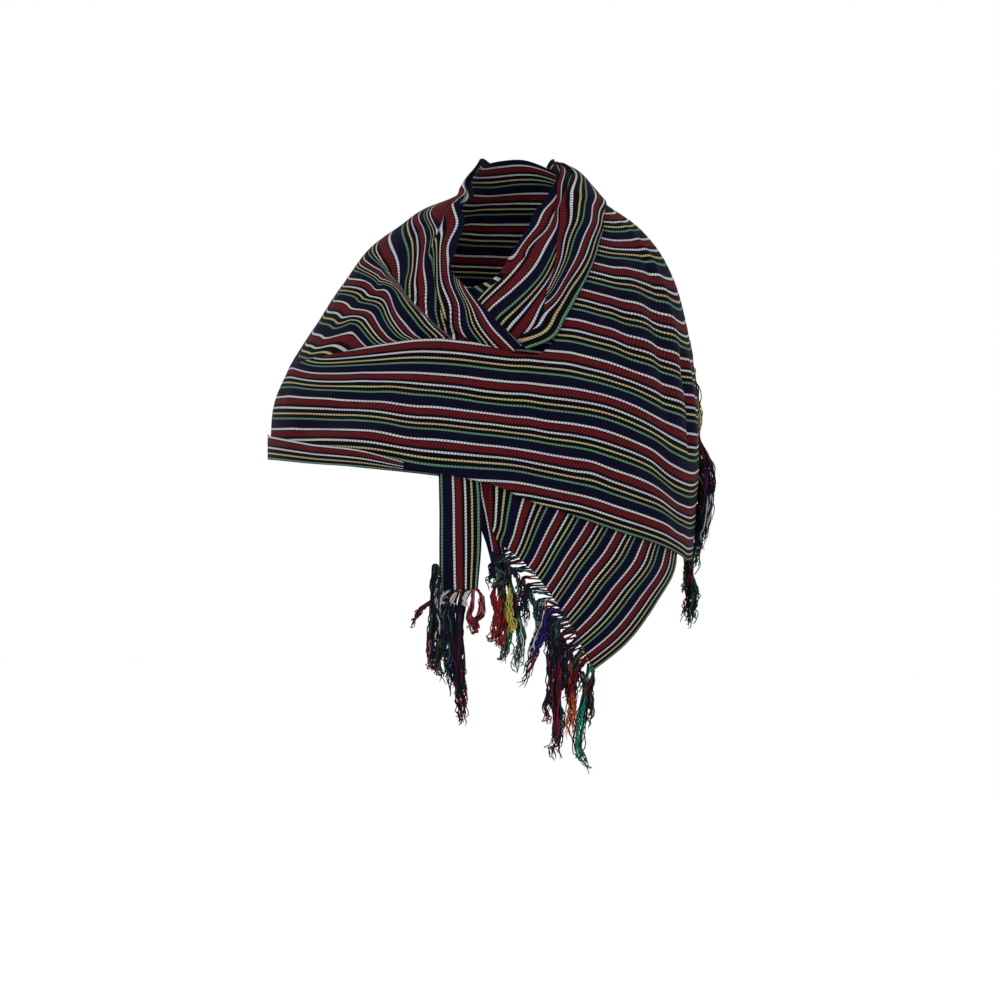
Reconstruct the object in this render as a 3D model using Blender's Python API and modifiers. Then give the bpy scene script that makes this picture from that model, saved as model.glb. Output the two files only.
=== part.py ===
"""Striped cotton shawl worn round the shoulders: a straight woven length wound once round a general figure,
with a loose cowl at the neck and a knotted fringe at both short ends. The cloth is hollow, as it is worn.

Lengths in the tables are millimetres. x runs to the wearer's left, depth is negative in front, z is up, and
the zero point is inside the base of the neck, between the shoulders."""

import math

import bmesh
import bpy
import numpy as np

MM = 0.001
WALL = 1.6
SEAM = 0.3
# The outlines in the tables line up for an eye this far in front of the figure, at this height.
EYE_DISTANCE = 3200.0
EYE_HEIGHT = -393.0

CLOTH_COLOUR = (0.055, 0.035, 0.075, 1.0)
FRINGE_COLOUR = (0.07, 0.035, 0.05, 1.0)
CLOTH_ROUGHNESS = 0.93

# The general figure that the cloth hangs on, as level rings: how far each reaches to the left and right,
# in front and behind, and how full its corners are (2 is an ellipse).
FIGURE = (
    # height, left, right, front, back, fullness
    (110, -50, 34, 46, 74, 2.0),
    (72, -54, 40, 50, 82, 2.0),
    (46, -72, 68, 54, 88, 1.95),
    (20, -94, 98, 61, 95, 1.9),
    (6, -130, 116, 67, 99, 1.85),
    (-20, -170, 152, 80, 106, 1.85),
    (-45, -204, 174, 92, 111, 1.9),
    (-88, -238, 198, 112, 118, 2.0),
    (-150, -279, 216, 136, 124, 2.1),
    (-216, -316, 227, 152, 128, 2.2),
    (-270, -338, 232, 159, 129, 2.3),
    (-335, -342, 233, 162, 128, 2.3),
    (-400, -338, 229, 160, 126, 2.3),
    (-480, -325, 222, 155, 124, 2.3),
    (-640, -300, 210, 148, 120, 2.3),
    (-800, -290, 205, 146, 118, 2.3),
)

# The bent forearm holds the cloth forward low on the wearer's right: centre, reach and height of that swell.
FOREARM = {"x": -165.0, "z": -345.0, "wide": 120.0, "tall": 85.0, "forward": 42.0}

# The largest folds that every layer takes together: a line from one angle and height to another, how wide the
# fold is and how far it stands out (a hollow is negative). Angles count from the wearer's left, as below.
DEGREE_WIDTH = 3.4
FOLDS = (
    # angle, height, to angle, to height, width, out
    (134, 14, 122, -60, 9, 5),
    (146, -14, 130, -86, 10, -4),
    (158, -60, 128, -140, 16, -5),
    (166, -110, 124, -176, 16, 5),
    (34, -110, 33, -280, 10, -4),
    (44, -60, 40, -250, 18, 4),
    (24, -20, 22, -200, 12, 3),
    (70, -240, 36, -330, 24, 6),
    (92, -250, 60, -330, 20, -6),
    (118, -250, 150, -300, 18, -5),
    (112, -300, 140, -322, 14, 5),
    (-42, -20, -58, -320, 20, 9),
    (-44, 10, -74, -360, 20, -9),
    (-66, 0, -96, -330, 22, 8),
    (-88, -30, -124, -300, 20, -8),
    (-112, -10, -146, -290, 22, 9),
    (-134, -60, -164, -310, 18, -7),
)


def smooth(at, known_at, known):
    """A curve through the known values that does not swing past them; known may hold several columns."""
    known_at = np.asarray(known_at, float)
    known = np.asarray(known, float)
    shape = (-1,) + (1,) * (known.ndim - 1)
    step = np.diff(known_at).reshape(shape)
    slope = np.diff(known, axis=0) / step
    tangent = np.zeros_like(known)
    tangent[0], tangent[-1] = slope[0], slope[-1]
    before, after = slope[:-1], slope[1:]
    steady = before * after > 0
    mean = (before * step[1:] + after * step[:-1]) / (step[1:] + step[:-1])
    limit = 3 * np.minimum(abs(before), abs(after))
    tangent[1:-1] = np.where(steady, np.sign(mean) * np.minimum(abs(mean), limit), 0.25 * mean)
    at = np.clip(np.asarray(at, float), known_at[0], known_at[-1])
    cell = np.clip(np.searchsorted(known_at, at, side="right") - 1, 0, len(known_at) - 2)
    width = step[cell].reshape(at.shape + (1,) * (known.ndim - 1))
    t = ((at - known_at[cell]) / (known_at[cell + 1] - known_at[cell])).reshape(width.shape)
    return (
        known[cell] * (1 + 2 * t) * (1 - t) ** 2
        + tangent[cell] * width * t * (1 - t) ** 2
        + known[cell + 1] * t * t * (3 - 2 * t)
        + tangent[cell + 1] * width * t * t * (t - 1)
    )


def ring_at(z):
    """Left, right, front, back and fullness of the figure's ring at each height."""
    table = np.array(FIGURE, float)[::-1]
    return np.moveaxis(smooth(z, table[:, 0], table[:, 1:]), -1, 0)


def on_figure(angle, z):
    """Points of the figure: 0 degrees is the wearer's left side, 90 the front, 180 the right side, 270 the back."""
    left, right, front, back, fullness = ring_at(z)
    turn = np.radians(angle)
    across, toward = np.cos(turn), np.sin(turn)
    x = (left + right) / 2 + (right - left) / 2 * np.sign(across) * abs(across) ** (2 / fullness)
    reach = np.where(toward > 0, front, back)
    depth = -reach * np.sign(toward) * abs(toward) ** (2 / fullness)
    swell = np.exp(-(((x - FOREARM["x"]) / FOREARM["wide"]) ** 2) - ((z - FOREARM["z"]) / FOREARM["tall"]) ** 2)
    depth = depth - FOREARM["forward"] * swell * np.clip(toward * 2.5, 0, 1)
    return np.stack([x, depth, z], axis=-1)


def fold_height(angle, z):
    """How far the folds stand out of the figure at each place."""
    total = np.zeros_like(z)
    angle = np.where(angle > 200, angle - 360, angle)
    for from_angle, from_z, to_angle, to_z, width, out in FOLDS:
        along = np.array([(to_angle - from_angle) * DEGREE_WIDTH, to_z - from_z])
        length = np.hypot(*along)
        run, off = (angle - from_angle) * DEGREE_WIDTH, z - from_z
        share = (run * along[0] + off * along[1]) / length**2
        aside = (run * along[1] - off * along[0]) / length
        ends = np.clip(1.25 - abs(2 * share - 1), 0, 0.5) * 2
        total += out * np.exp(-((aside / width) ** 2)) * ends * ends * (3 - 2 * ends)
    return total


def off_figure(angle, z, lift):
    """Points of the figure moved out along its normal by each lift, then drawn to the eye's lines of sight."""
    turn, rise = 0.5, 1.0
    lift = lift + fold_height(angle, z)
    round_it = on_figure(angle + turn, z) - on_figure(angle - turn, z)
    up_it = on_figure(angle, z + rise) - on_figure(angle, z - rise)
    normal = np.cross(up_it, round_it)
    normal /= np.linalg.norm(normal, axis=-1, keepdims=True)
    point = on_figure(angle, z) + normal * lift[..., None]
    near = (EYE_DISTANCE + point[..., 1]) / EYE_DISTANCE
    x = point[..., 0] * near
    height = EYE_HEIGHT + (point[..., 2] - EYE_HEIGHT) * near
    return np.stack([x, point[..., 1], height], axis=-1)


def front(x, z, lift):
    """A place on the front of the figure, by where it shows from in front."""
    left, right, _, _, fullness = ring_at(float(z))
    t = np.clip((x - (left + right) / 2) / ((right - left) / 2), -1, 1)
    return (math.degrees(math.acos(np.sign(t) * abs(t) ** (fullness / 2))), z, lift)


def around(angle, z, lift):
    """A place at the side or back of the figure, by its angle."""
    return (angle, z, lift)


def loft(rows, along, across, start=0.0, end=1.0, first=0.0, last=1.0):
    """Places on a surface through the rows: from start to end along the cloth, and first to last across it."""
    places = np.array(rows, float)
    count_rows, count_places = places.shape[:2]
    across_at = np.linspace(first, last, across + 1)
    filled = np.stack([smooth(across_at, np.linspace(0, 1, count_places), row) for row in places])
    spans = np.linalg.norm((places[1:] - places[:-1]) * (2.0, 1.0, 1.0), axis=-1).mean(axis=1)
    row_at = np.concatenate([[0], np.cumsum(spans)])
    row_at /= row_at[-1]
    return smooth(np.linspace(start, end, along + 1), row_at, filled)


# Each sheet is a table of rows along the cloth, and each row runs across it from the neck edge to the hem.

def back_rows():
    """From in front of the wearer's left arm, round the back, to the line from neck to elbow on the right."""
    return [
        [around(48, 0, 1), around(40, -50, 2), around(30, -140, 2), around(20, -270, 3), around(12, -450, 3)],
        [around(14, 20, 2), around(10, -40, 3), around(4, -140, 3), around(2, -270, 3), around(0, -450, 3)],
        [around(-30, 52, 3), around(-25, -20, 4), around(-22, -130, 4), around(-22, -270, 4), around(-22, -440, 4)],
        [around(-62, 70, 3), around(-60, 5, 5), around(-58, -120, 5), around(-56, -260, 5), around(-56, -414, 6)],
        [around(-90, 76, 3), around(-90, 12, 5), around(-90, -118, 5), around(-92, -240, 5), around(-92, -366, 8)],
        [around(-118, 74, 3), around(-120, 8, 5), around(-122, -115, 5), around(-126, -230, 5), around(-128, -346, 6)],
        [around(-150, 70, 3), around(-148, 2, 4), around(-148, -110, 4), around(-152, -220, 4), around(-154, -338, 4)],
        shoulder_row(),
    ]


def shoulder_row():
    """The line from neck to elbow just behind the wearer's right side."""
    return [around(-172, 74, 3), around(-172, 4, 4), around(-171, -70, 4), around(-171, -190, 4), around(-171, -333, 4)]


def part_of_row(row, first, last, count):
    """Places at even steps on a stretch of a row."""
    return [tuple(place) for place in smooth(np.linspace(first, last, count), np.linspace(0, 1, len(row)), row)]


def shoulder_rows():
    """The fan over the right shoulder: it turns about the outer end of the tuck, and the last row is under it."""
    behind = [(angle + 360, z, lift) for angle, z, lift in part_of_row(shoulder_row(), 0.0, 0.66, 5)]
    return [
        behind,
        [around(180, 72, 4), around(180, 24, 5), around(180, -22, 4), around(180, -108, 4), around(180, -206, 4)],
        [front(-80, -7, 4), front(-118, -34, 5), front(-170, -64, 5), front(-236, -132, 4), front(-306, -210, 3)],
        [front(-95, -76, 4), front(-134, -96, 5), front(-176, -120, 5), front(-232, -164, 4), front(-296, -210, 3)],
        [front(-66, -118, 4), front(-112, -142, 5), front(-160, -160, 5), front(-218, -186, 4), front(-286, -211, 3)],
        [front(-4, -190, 4), front(-62, -180, 5), front(-128, -179, 5), front(-205, -190, 4), front(-276, -212, 3)],
        [front(-2, -214, 3), front(-60, -206, 3), front(-126, -203, 3), front(-203, -208, 3), front(-274, -224, 2)],
    ]


def wrap_rows():
    """The wrap across the front, from the right elbow over to the back of the left arm."""
    behind = [(angle + 362, z, lift + 3) for angle, z, lift in part_of_row(shoulder_row(), 0.655, 1.0, 4)]
    return [
        behind,
        [around(180, -214, 8), around(180, -262, 7), around(180, -300, 6), around(180, -335, 6)],
        [front(-306, -209, 9), front(-318, -258, 8), front(-324, -300, 7), front(-328, -337, 7)],
        [front(-268, -199, 11), front(-276, -250, 9), front(-282, -298, 8), front(-284, -341, 8)],
        [front(-206, -187, 14), front(-210, -240, 11), front(-212, -294, 9), front(-210, -346, 9)],
        [front(-130, -176, 18), front(-134, -234, 13), front(-136, -292, 10), front(-136, -352, 10)],
        [front(-66, -181, 20), front(-66, -238, 15), front(-64, -300, 11), front(-62, -366, 11)],
        [front(-6, -196, 21), front(-4, -252, 16), front(4, -316, 12), front(10, -394, 11)],
        [front(13, -196, 14), front(24, -250, 13), front(36, -318, 11), front(46, -406, 10)],
        [front(36, -182, 7), front(56, -246, 10), front(72, -320, 10), front(86, -421, 10)],
        [front(62, -112, 7), front(88, -214, 9), front(112, -312, 9), front(132, -437, 9)],
        [front(86, -46, 6), front(120, -176, 9), front(158, -300, 9), front(184, -455, 9)],
        [front(98, 0, 5), front(142, -120, 9), front(190, -278, 8), front(212, -470, 8)],
        [around(4, 15, 5), around(6, -88, 8), around(6, -250, 8), around(8, -476, 8)],
        [around(-24, 24, 9), around(-20, -78, 12), around(-18, -236, 13), around(-12, -470, 14)],
    ]


def collar_inner_rows():
    """The strip beside the neck on the left, and the low part of the opening that it turns into."""
    return [
        [around(-48, 75, 5.0), around(-46, 66, 5.1), around(-44, 56, 5.3)],
        [around(-24, 76, 5), around(-24, 67, 6.5), around(-24, 56, 6.5)],
        [around(0, 76, 4), around(0, 66, 4), around(0, 52, 4)],
        [front(44, 46, 3), front(52, 42, 3), front(62, 34, 3)],
        [front(32, 24, 3), front(42, 16, 3), front(54, 6, 3)],
        [front(10, -10, 3), front(26, -20, 3), front(44, -32, 3)],
        [front(-8, -40, 3), front(10, -52, 3), front(32, -68, 3)],
        [front(-22, -64, 2), front(-4, -84, 3), front(14, -108, 3)],
        [front(-46, -91, 1), front(-34, -112, 1), front(-20, -136, 1)],
        [front(-80, -102, -1), front(-70, -124, -1), front(-56, -150, -1)],
    ]


def collar_middle_rows():
    """The turned over fold, from behind the neck down to the crossing under the neck band."""
    return [
        [around(-44, 70, 10), around(-42, 62, 10), around(-40, 52, 10)],
        [around(-20, 69, 8.7), around(-20, 60, 8.8), around(-20, 48, 9)],
        [around(2, 66, 7.6), around(3, 58, 7.8), around(4, 44, 8)],
        [front(44, 26, 8), front(52, 22, 8), front(64, 18, 8)],
        [front(42, 0, 8), front(48, -4, 8), front(56, -8, 7)],
        [front(24, -34, 8), front(40, -40, 9), front(54, -48, 7)],
        [front(0, -64, 8), front(22, -78, 11), front(46, -92, 7)],
        [front(-28, -90, 8), front(0, -114, 12), front(32, -130, 8)],
        [front(-56, -110, 8), front(-28, -140, 11), front(16, -164, 8)],
        [front(-72, -122, 8), front(-46, -152, 9), front(-8, -182, 8)],
    ]


def collar_roll_rows():
    """The outer roll of the cowl; its middle stands proud and its tip curls under the neck band."""
    return [
        [around(-42, 64, 14), around(-38, 50, 15), around(-36, 32, 13)],
        [around(-20, 62, 14), around(-18, 48, 17), around(-16, 30, 14)],
        [around(4, 56, 13), around(4, 44, 17), around(4, 22, 13)],
        [front(52, 24, 13), front(74, 24, 18), front(104, 14, 12)],
        [front(48, -2, 13), front(78, 0, 20), front(106, -8, 12)],
        [front(46, -30, 11), front(77, -30, 20), front(104, -34, 11)],
        [front(44, -65, 11), front(72, -66, 20), front(95, -68, 11.5)],
        [front(33, -101, 12.5), front(58, -104, 20), front(78, -106, 11.5)],
        [front(27, -134, 13), front(44, -138, 19), front(58, -143, 12)],
        [front(14, -160, 13), front(24, -168, 17), front(35, -176, 12)],
        [front(-6, -170, 13), front(-3, -180, 14), front(4, -188, 13)],
    ]


def band_rows():
    """The edge of the cloth beside the neck on the right: it lies over the crossing and ends under the wrap."""
    return [
        [around(226, 76, 6), around(224, 66, 7), around(222, 52, 7)],
        [around(202, 77, 6), around(202, 66, 7), around(202, 46, 8)],
        [front(-57, 72, 7), front(-66, 54, 8), front(-84, 34, 9)],
        [front(-73, 28, 10), front(-84, 14, 12), front(-101, 2, 11)],
        [front(-79, -7, 10), front(-93, -18, 12), front(-112, -30, 10)],
        [front(-88, -45, 10), front(-103, -52, 12), front(-122, -62, 9)],
        [front(-97, -80, 11), front(-106, -92, 13), front(-118, -108, 9)],
        [front(-78, -104, 13), front(-92, -122, 14), front(-108, -142, 10)],
        [front(-50, -135, 14), front(-66, -150, 15), front(-86, -166, 11)],
        [front(-25, -161, 16), front(-42, -174, 15), front(-60, -184, 11)],
        [front(-2, -184, 17), front(-18, -194, 15), front(-36, -202, 11)],
    ]


def end_under_rows():
    """The under end: rows run down the stripes, from under the wrap to the woven end."""
    return [
        [around(84, -300, 8.7), around(64, -300, 6.4), around(42, -300, 2), around(25, -300, 2)],
        [front(-46, -360, 3), front(44, -375, 4), front(130, -385, 3), around(20, -385, 3)],
        [front(-48, -395, 3), front(38, -425, 5), front(122, -462, 4), front(208, -477, 4)],
        [front(-45, -424, 3), front(28, -460, 6), front(98, -512, 5), front(180, -535, 6)],
        [front(-40, -440, 4), front(20, -478, 7), front(75, -538, 7), front(138, -592, 8)],
        [front(-34, -452, 5), front(12, -490, 8), front(58, -556, 9), front(94, -628, 10)],
    ]


def end_fold_rows():
    """The fold that hangs beside the under end: rows run down the stripes."""
    return [
        [front(-118, -320, 6), front(-96, -320, 7), front(-66, -320, 6.5)],
        [front(-116, -400, 6), front(-92, -400, 8), front(-58, -400, 5)],
        [front(-115, -460, 10), front(-90, -460, 13), front(-58, -458, 10)],
        [front(-114, -516, 16), front(-88, -516, 19), front(-62, -515, 16)],
    ]


def end_fold_inner_rows():
    """The second fold of the under end, further back between the two that show."""
    return [
        [front(-78, -330, -3), front(-56, -330, -1), front(-34, -330, 1.5)],
        [front(-66, -400, -2), front(-48, -400, 0), front(-28, -400, 0.8)],
        [front(-50, -456, -1), front(-38, -456, 2), front(-26, -456, -1)],
        [front(-38, -506, 3), front(-28, -506, 5), front(-19, -503, 3)],
    ]


def hem_fold_rows():
    """The last of the hem, folded up over the front of the wrap at the right elbow and narrowing to nothing."""
    return [
        [around(183, -303, 10.2), around(183, -337, 9.8)],
        [front(-326, -308, 10.5), front(-328, -338.5, 10.4)],
        [front(-284, -317, 11.4), front(-284, -343, 11.3)],
        [front(-210, -328, 12.2), front(-210, -348, 12.1)],
        [front(-163, -341, 12.8), front(-163, -352, 12.8)],
    ]


def material(name, colour, roughness):
    made = bpy.data.materials.new(name)
    made.use_nodes = True
    shader = made.node_tree.nodes["Principled BSDF"]
    shader.inputs["Base Color"].default_value = colour
    shader.inputs["Roughness"].default_value = roughness
    shader.inputs["Metallic"].default_value = 0.0
    made.diffuse_color = colour
    return made


def collection(name, hidden=False):
    made = bpy.data.collections.new(name)
    bpy.context.scene.collection.children.link(made)
    made.hide_render = hidden
    return made


def mesh_object(name, bm, owner, look):
    mesh = bpy.data.meshes.new(name)
    bm.to_mesh(mesh)
    bm.free()
    mesh.materials.append(look)
    mesh.shade_smooth()
    made = bpy.data.objects.new(name, mesh)
    owner.objects.link(made)
    return made


def cloth(name, points, owner, colour, wall=WALL):
    """A wall of even thickness on a grid of points, half of it on each side."""
    along, across = points.shape[:2]
    bm = bmesh.new()
    bmesh.ops.create_grid(bm, x_segments=across - 1, y_segments=along - 1, size=1)
    bm.verts.ensure_lookup_table()
    for vertex, point in zip(bm.verts, points.reshape(-1, 3)):
        vertex.co = point * MM
    made = mesh_object(name, bm, owner, material(name + "_cotton", colour, CLOTH_ROUGHNESS))
    thick = made.modifiers.new("Wall", "SOLIDIFY")
    thick.thickness = wall * MM
    thick.offset = 0
    thick.use_even_offset = True
    thick.use_quality_normals = True
    return made


def sheet(name, places, owner, colour):
    """A stretch of cloth through lofted places, and its points."""
    points = off_figure(places[..., 0], places[..., 1], places[..., 2])
    cloth(name, points, owner, colour)
    return points


# Locks of the fringe: each row is a lock by name of its heading, how far along the heading it starts (0 to 1),
# how thick it is at its fullest, and the places where it shows on its way down.
LOCKS = (
    # heading, start, radius, way down as x, z and lift
    ("left", 0.04, 3.0, ((-119, -540, 17), (-126, -585, 15), (-128, -620, 14), (-123, -626, 14))),
    ("left", 0.10, 1.8, ((-122, -532, 20), (-138, -545, 20), (-147, -563, 20), (-154, -570, 20))),
    ("left", 0.20, 3.6, ((-110, -545, 19), (-112, -590, 17), (-117, -622, 15), (-112, -642, 14))),
    ("left", 0.32, 4.0, ((-103, -545, 24), (-104, -580, 23), (-106, -618, 20), (-101, -652, 17))),
    ("left", 0.46, 4.2, ((-97, -550, 18), (-98, -600, 17), (-96, -640, 16), (-92, -668, 15))),
    ("left", 0.60, 4.0, ((-88, -548, 23), (-87, -600, 21), (-85, -650, 18), (-83, -685, 16), (-86, -706, 15))),
    ("left", 0.74, 3.2, ((-84, -545, 17), (-90, -590, 14), (-88, -630, 13), (-97, -648, 13))),
    ("left", 0.86, 2.2, ((-70, -535, 20), (-74, -556, 20), (-64, -572, 20), (-72, -578, 20))),
    ("left", 0.96, 2.2, ((-56, -526, 18), (-55, -548, 18), (-66, -562, 16), (-60, -574, 16))),
    ("middle", 0.05, 3.2, ((-41, -525, 6), (-35, -548, 8), (-40, -578, 9), (-45, -586, 9))),
    ("middle", 0.30, 3.2, ((-31, -528, 8), (-28, -556, 11), (-33, -590, 11), (-31, -600, 11))),
    ("middle", 0.55, 3.0, ((-25, -530, 5), (-20, -562, 7), (-24, -602, 8), (-33, -618, 8))),
    ("middle", 0.75, 2.4, ((-18, -522, 10), (-21, -540, 14), (-17, -565, 15), (-19, -580, 15))),
    ("middle", 0.95, 3.4, ((-12, -528, 5), (-8, -556, 6), (-2, -584, 7), (-7, -612, 8), (-5, -630, 8))),
    ("right", 0.04, 1.8, ((-44, -468, 7), (-38, -482, 8), (-48, -500, 9), (-44, -522, 9))),
    ("right", 0.11, 1.8, ((-27, -476, 7), (-38, -482, 8), (-29, -498, 9), (-48, -516, 9))),
    ("right", 0.18, 1.8, ((-20, -482, 7), (-12, -492, 8), (-29, -498, 9), (-24, -524, 12))),
    ("right", 0.27, 1.8, ((-4, -490, 8), (-12, -492, 8), (-6, -512, 9), (-9, -536, 11))),
    ("right", 0.36, 2.0, ((4, -510, 9), (8, -522, 10), (-4, -536, 11), (-7, -556, 13))),
    ("right", 0.44, 2.0, ((20, -520, 10), (8, -522, 10), (20, -540, 11), (27, -546, 12))),
    ("right", 0.52, 3.0, ((30, -530, 11), (24, -560, 12), (15, -592, 12), (9, -620, 12), (-10, -653, 12))),
    ("right", 0.58, 2.6, ((34, -545, 12), (27, -575, 14), (20, -596, 15), (12, -606, 15))),
    ("right", 0.64, 4.2, ((40, -570, 13), (37, -610, 14), (38, -650, 14), (31, -680, 14), (36, -702, 14))),
    ("right", 0.70, 4.2, ((47, -585, 17), (44, -630, 17), (43, -680, 16), (45, -722, 15), (39, -738, 15), (49, -756, 15))),
    ("right", 0.78, 2.8, ((57, -602, 15), (50, -640, 12), (45, -668, 11), (52, -700, 11), (31, -730, 12))),
    ("right", 0.85, 4.0, ((64, -620, 15), (61, -650, 16), (64, -678, 16), (60, -702, 15), (66, -742, 15))),
    ("right", 0.90, 2.6, ((70, -628, 19), (64, -648, 20), (58, -668, 20))),
    ("right", 0.95, 3.6, ((84, -642, 14), (84, -664, 15), (77, -698, 15), (74, -735, 15), (83, -757, 15), (97, -771, 15))),
    ("right", 0.99, 2.4, ((92, -640, 16), (87, -656, 18), (88, -690, 18), (84, -712, 18))),
)

# The outer end hangs down the back of the wearer's left arm: where each lock starts, its angle lower down and length.
ARM_LOCKS = (
    # start, angle, lift, length, radius
    (0.03, -27, 13, 120, 3.4),
    (0.09, -31, 16, 150, 3.6),
    (0.15, -25, 14, 135, 3.4),
    (0.21, -28, 18, 155, 3.8),
    (0.27, -22, 15, 140, 3.4),
    (0.33, -26, 19, 150, 3.8),
    (0.39, -19, 17, 160, 3.6),
    (0.45, -24, 20, 140, 3.6),
    (0.51, -17, 18, 165, 4.0),
    (0.57, -22, 20, 160, 4.0),
    (0.62, -20, 19, 160, 4.0),
    (0.67, -18, 18, 160, 4.0),
    (0.72, -3, 23, 165, 4.0),
    (0.75, -10, 20, 150, 3.8),
    (0.78, -1, 24, 150, 3.8),
    (0.82, -6, 21, 130, 3.8),
    (0.86, -11, 19, 125, 3.6),
    (0.92, -17, 17, 115, 3.8),
    (0.97, -12, 15, 118, 3.6),
    (0.995, -9, 18, 100, 3.0),
)
HEADING_WIDTH = 4.0
HEADING_WALL = 2.6
LOCK_ROOT = 0.4
LOCK_TIP = 0.4


def heading_points(edge, before, gap=SEAM):
    """The two edges of a narrow strip that carries on from a cloth's last points, just parted from them."""
    onward = edge - before
    onward /= np.linalg.norm(onward, axis=-1, keepdims=True)
    return np.stack([edge + onward * gap, edge + onward * (gap + HEADING_WIDTH)])


def point_along(points, share):
    """The point at a share of a line's length."""
    runs = np.linalg.norm(np.diff(points, axis=0), axis=1)
    at = np.concatenate([[0], np.cumsum(runs)]) / runs.sum()
    return np.array([np.interp(share, at, points[:, axis]) for axis in range(3)])


def lock_mesh(points, radius, owner, name):
    """A lock of yarn: four sided, thin where it leaves its heading, full lower down and pointed at the end."""
    line = bpy.data.curves.new(name, "CURVE")
    line.dimensions = "3D"
    line.bevel_depth = MM
    line.bevel_resolution = 0
    line.use_fill_caps = True
    spline = line.splines.new("POLY")
    spline.points.add(len(points) - 1)
    for index, point in enumerate(points):
        share = index / (len(points) - 1)
        swollen = LOCK_ROOT + (1 - LOCK_ROOT) * min(1.0, share / 0.3)
        full = radius * swollen * (1 - (1 - LOCK_TIP) * share ** 3)
        spline.points[index].co = (*(point * MM), 1)
        spline.points[index].radius = full
    holder = bpy.data.objects.new(name + "_line", line)
    owner.objects.link(holder)
    mesh = bpy.data.meshes.new_from_object(holder)
    bpy.data.objects.remove(holder, do_unlink=True)
    bm = bmesh.new()
    bm.from_mesh(mesh)
    bmesh.ops.remove_doubles(bm, verts=bm.verts, dist=1e-6)
    bmesh.ops.recalc_face_normals(bm, faces=bm.faces)
    bm.to_mesh(mesh)
    bm.free()
    owner.objects.link(bpy.data.objects.new(name, mesh))


def fringe(name, strip, ways, owner):
    """A narrow heading strip with its locks grown out of it."""
    made = cloth(name, strip, owner, FRINGE_COLOUR, HEADING_WALL)
    strands = collection(name + "_locks", hidden=True)
    for index, (start, radius, way) in enumerate(ways):
        root = point_along(strip[0] * 0.35 + strip[1] * 0.65, start)
        stops = np.vstack([root, way])
        steps = np.linspace(0, 1, len(stops) + 3)
        lock_mesh(smooth(steps, np.linspace(0, 1, len(stops)), stops), radius, strands, f"{name}_lock_{index}")
    for lock in strands.objects:
        lock.display_type = "WIRE"
    join = made.modifiers.new("Locks", "BOOLEAN")
    join.operation = "UNION"
    join.solver = "EXACT"
    join.operand_type = "COLLECTION"
    join.collection = strands


def shown_at(places):
    places = np.array(places, float)
    return off_figure(places[:, 0], places[:, 1], places[:, 2])


def clear():
    for old in list(bpy.data.objects):
        bpy.data.objects.remove(old, do_unlink=True)


def main():
    clear()
    shawl = collection("shawl")
    sheet("back_drape", loft(back_rows(), 28, 12), shawl, CLOTH_COLOUR)
    sheet("right_shoulder_drape", loft(shoulder_rows(), 18, 12, start=0.004, first=0.04), shawl, CLOTH_COLOUR)
    wrap = sheet("front_wrap", loft(wrap_rows(), 38, 11, start=0.003), shawl, CLOTH_COLOUR)
    sheet("collar_inner", loft(collar_inner_rows(), 20, 4), shawl, CLOTH_COLOUR)
    sheet("collar_middle", loft(collar_middle_rows(), 22, 6), shawl, CLOTH_COLOUR)
    sheet("collar_roll", loft(collar_roll_rows(), 24, 7), shawl, CLOTH_COLOUR)
    sheet("neck_band", loft(band_rows(), 24, 5), shawl, CLOTH_COLOUR)
    under = sheet("end_under", loft(end_under_rows(), 12, 12), shawl, CLOTH_COLOUR)
    fold = sheet("end_fold", loft(end_fold_rows(), 8, 4), shawl, CLOTH_COLOUR)
    inner = sheet("end_fold_inner", loft(end_fold_inner_rows(), 8, 3), shawl, CLOTH_COLOUR)
    sheet("hem_fold", loft(hem_fold_rows(), 14, 2), shawl, CLOTH_COLOUR)

    for heading, points in (("left", fold), ("middle", inner), ("right", under)):
        ways = [
            (start, radius, shown_at([front(*place) for place in way]))
            for name, start, radius, way in LOCKS
            if name == heading
        ]
        fringe(f"end_fringe_{heading}", heading_points(points[-1], points[-2]), ways, shawl)

    strip = heading_points(wrap[-1], wrap[-2])
    outer_row = np.array(wrap_rows()[-1], float)
    ways = []
    for start, angle, lift, length, radius in ARM_LOCKS:
        from_angle, z, from_lift = smooth(np.array(start), np.linspace(0, 1, len(outer_row)), outer_row)
        way = [
            (min(from_angle - 3, (from_angle + angle) / 2 - 1), z - 0.2 * length, (from_lift + lift) / 2 + 2),
            (angle, z - 0.5 * length, lift + 2),
            (angle + 2, z - 0.78 * length, lift),
            (angle - 1, z - length, lift + 1),
        ]
        ways.append((start, radius, shown_at(way)))
    fringe("arm_fringe", strip, ways, shawl)


main()
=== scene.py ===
"""A striped cotton shawl as it is worn: wound once round the shoulders and both arms, with a loose cowl at
the neck and a knotted fringe at both ends. Lengths in the tables are millimetres."""

import math

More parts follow.
